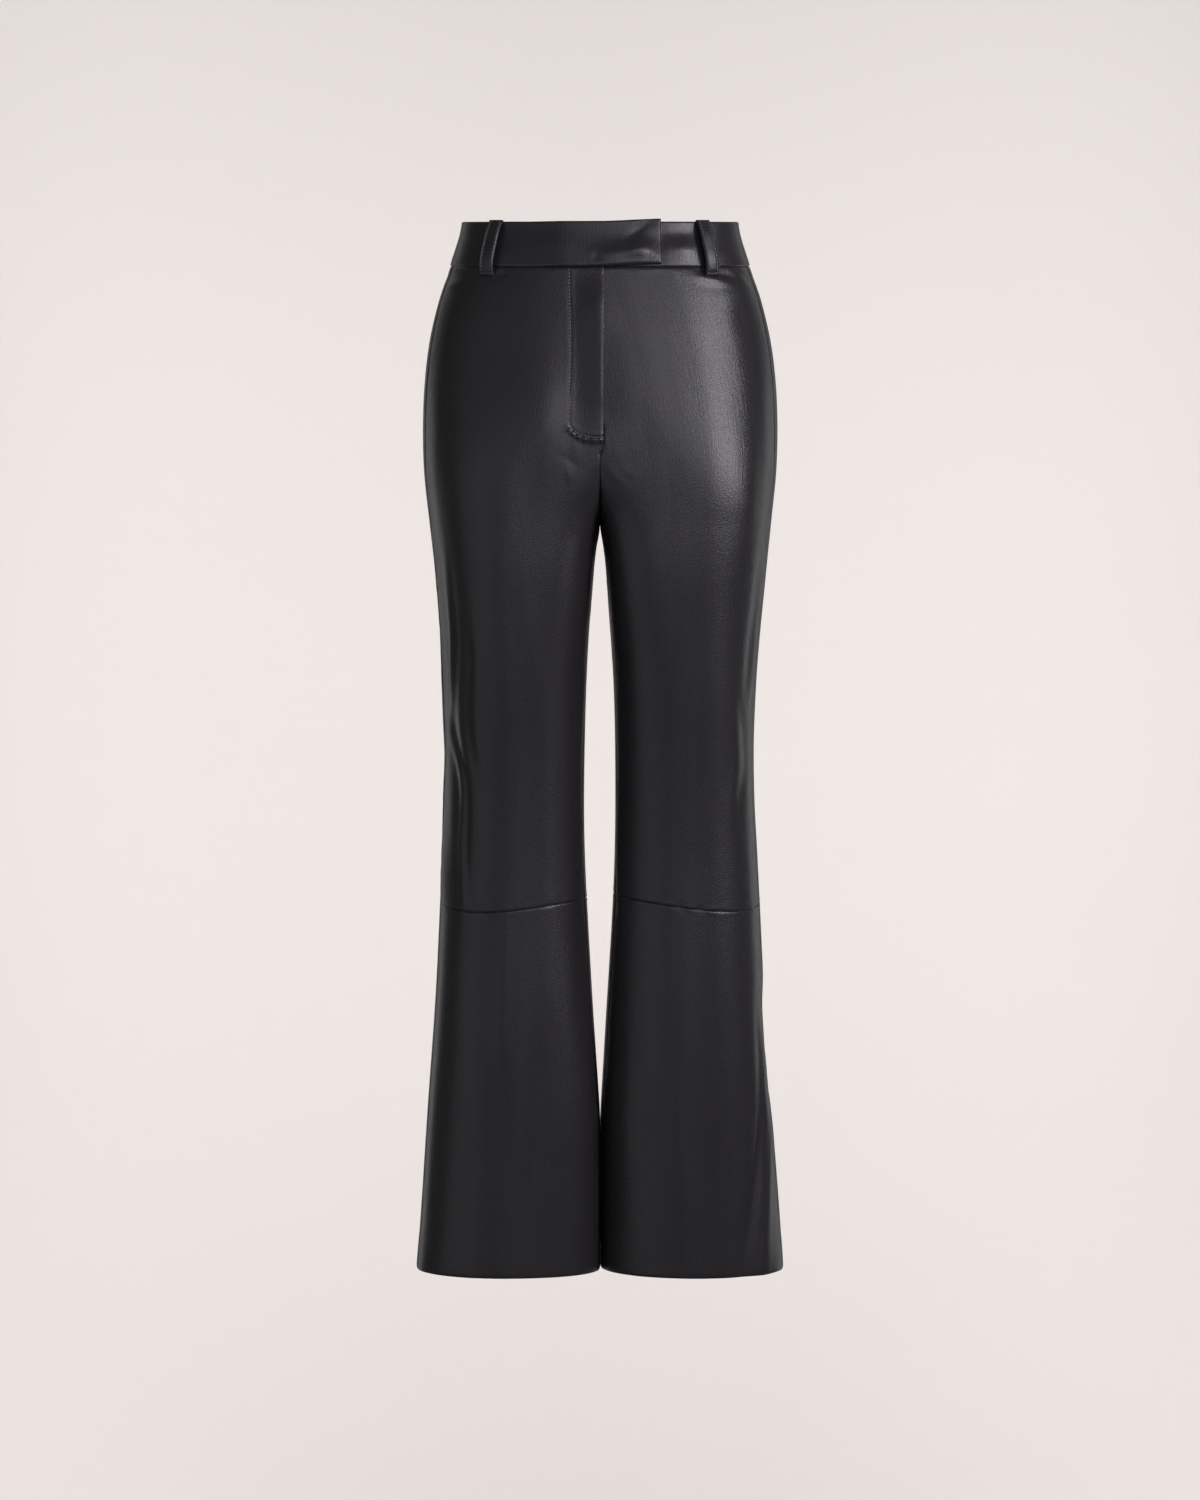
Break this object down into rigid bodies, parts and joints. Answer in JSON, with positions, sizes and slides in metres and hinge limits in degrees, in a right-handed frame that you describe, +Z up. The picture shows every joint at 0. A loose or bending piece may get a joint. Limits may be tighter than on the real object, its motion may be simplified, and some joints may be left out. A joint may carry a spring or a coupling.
{
  "type": "leather trousers",
  "caption": "Leather trousers with an extended waistband tab, a fly, belt loops, a curved seam across each knee and legs that flare to open hems.",
  "frame": {"origin": "middle of the waist opening, level with the top edge of the waistband at the sides; the body holds the trousers up here", "axes": "+Z up along the legs, the front faces -Y, and the wearer's right leg is on the -X side"},
  "size_m": [0.3653, 0.2353, 1.0625],
  "materials": {
    "leather": "satin"
  },
  "bodies": {
    "root": {"front_right_upper": "leather", "front_left_upper": "leather", "back_right_upper": "leather", "back_left_upper": "leather", "front_right_lower": "leather", "front_left_lower": "leather", "back_right_lower": "leather", "back_left_lower": "leather", "waistband_right": "leather", "waistband_left": "leather", "belt_loop_front_right": "leather", "belt_loop_front_left": "leather", "belt_loop_back_right": "leather", "belt_loop_back_left": "leather", "belt_loop_centre_back": "leather"}
  },
  "joints": []
}
